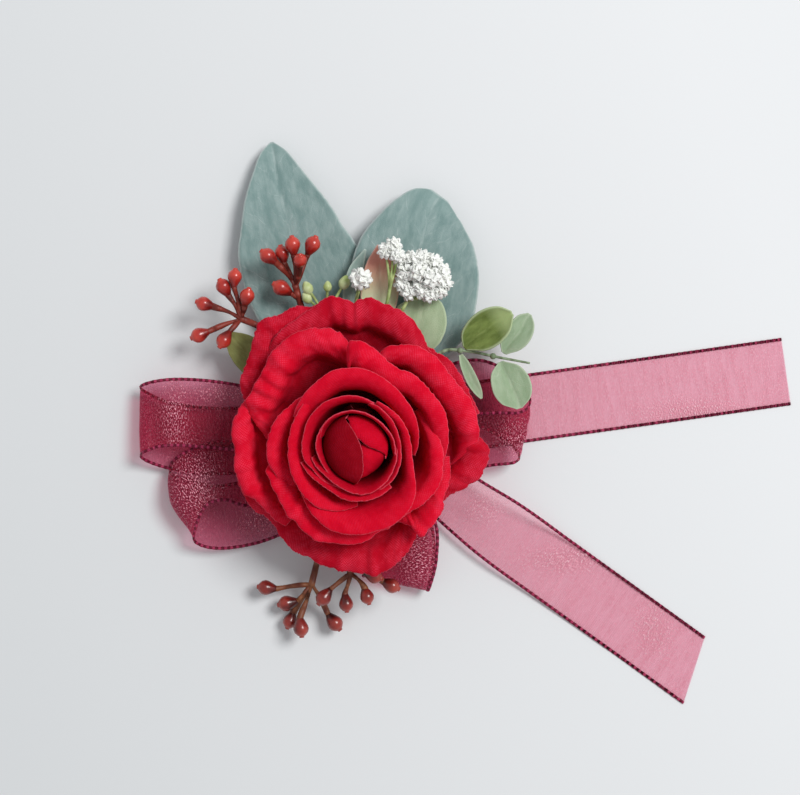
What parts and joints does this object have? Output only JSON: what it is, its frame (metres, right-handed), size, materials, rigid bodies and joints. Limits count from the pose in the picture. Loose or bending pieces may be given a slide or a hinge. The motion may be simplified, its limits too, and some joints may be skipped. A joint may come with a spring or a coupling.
{
  "type": "wrist corsage",
  "caption": "Wrist corsage of a cloth rose with frosted leaves, berry sprigs, filler flowers and a looped organza ribbon bow whose long tails tie round the wrist.",
  "frame": {"origin": "centre of the felt backing's underside, the face that lies on the wrist", "axes": "+X towards the long ribbon tails, +Y towards the two large leaves, +Z away from the wrist"},
  "size_m": [0.1901, 0.1649, 0.0429],
  "materials": {
    "rose_cloth": "woven, matt",
    "rose_core_plastic": "moulded",
    "calyx_plastic": "moulded, satin",
    "backing_felt": "felt",
    "floral_tape": "waxed crepe",
    "binding_wire": "lacquered",
    "organza": "sheer, woven edge",
    "frosted_leaf": "coated, frosted",
    "green_leaf": "coated",
    "blush_leaf": "coated",
    "pale_leaf": "coated",
    "olive_leaf": "coated",
    "sprig_leaf": "moulded",
    "sprig_stem": "moulded",
    "berry_red": "moulded, satin",
    "berry_brown": "moulded, satin",
    "filler_white": "flocked",
    "bud_green": "moulded"
  },
  "bodies": {
    "root": {"felt_backing": "backing_felt", "stem_bundle": "floral_tape", "binding_wire": "binding_wire", "rose_calyx": "calyx_plastic", "rose_core": "rose_core_plastic", "bow_loop_left_upper": "organza", "bow_loop_left_lower": "organza", "bow_loop_right": "organza", "bow_loop_bottom": "organza", "ribbon_tail_right": "organza", "ribbon_tail_lower": "organza", "leaf_large_left": "frosted_leaf", "leaf_large_right": "frosted_leaf", "leaf_round": "green_leaf", "leaf_blush": "blush_leaf", "leaf_pale": "pale_leaf", "leaf_low_left": "olive_leaf", "sprig_stem": "sprig_stem", "sprig_leaf_upper_left": "sprig_leaf", "sprig_leaf_upper_right": "sprig_leaf", "sprig_leaf_narrow": "sprig_leaf", "sprig_leaf_round": "sprig_leaf", "berry_sprig_top": "berry_red", "berry_sprig_left": "berry_red", "berry_sprig_bottom_left": "berry_brown", "berry_sprig_bottom_right": "berry_brown", "filler_flowers_large": "filler_white", "filler_flowers_small": "filler_white", "filler_flower_single": "filler_white", "bud_spray": "bud_green", "rose_petal_bud_dome": "rose_cloth", "rose_petal_bud_curl": "rose_cloth", "rose_petal_bud_fold": "rose_cloth", "rose_petal_ring1_a": "rose_cloth", "rose_petal_ring1_b": "rose_cloth", "rose_petal_ring1_c": "rose_cloth", "rose_petal_ring2_a": "rose_cloth", "rose_petal_ring2_b": "rose_cloth", "rose_petal_ring2_c": "rose_cloth", "rose_petal_ring3_a": "rose_cloth", "rose_petal_ring3_b": "rose_cloth", "rose_petal_ring3_c": "rose_cloth", "rose_petal_ring4_a": "rose_cloth", "rose_petal_ring4_b": "rose_cloth", "rose_petal_ring4_c": "rose_cloth", "rose_petal_ring4_d": "rose_cloth", "rose_petal_ring5_a": "rose_cloth", "rose_petal_ring5_b": "rose_cloth", "rose_petal_ring5_c": "rose_cloth", "rose_petal_ring5_d": "rose_cloth", "rose_petal_ring6_a": "rose_cloth", "rose_petal_ring6_b": "rose_cloth", "rose_petal_ring6_c": "rose_cloth", "rose_petal_ring6_d": "rose_cloth", "rose_petal_ring6_e": "rose_cloth", "rose_petal_ring6_f": "rose_cloth"}
  },
  "joints": []
}
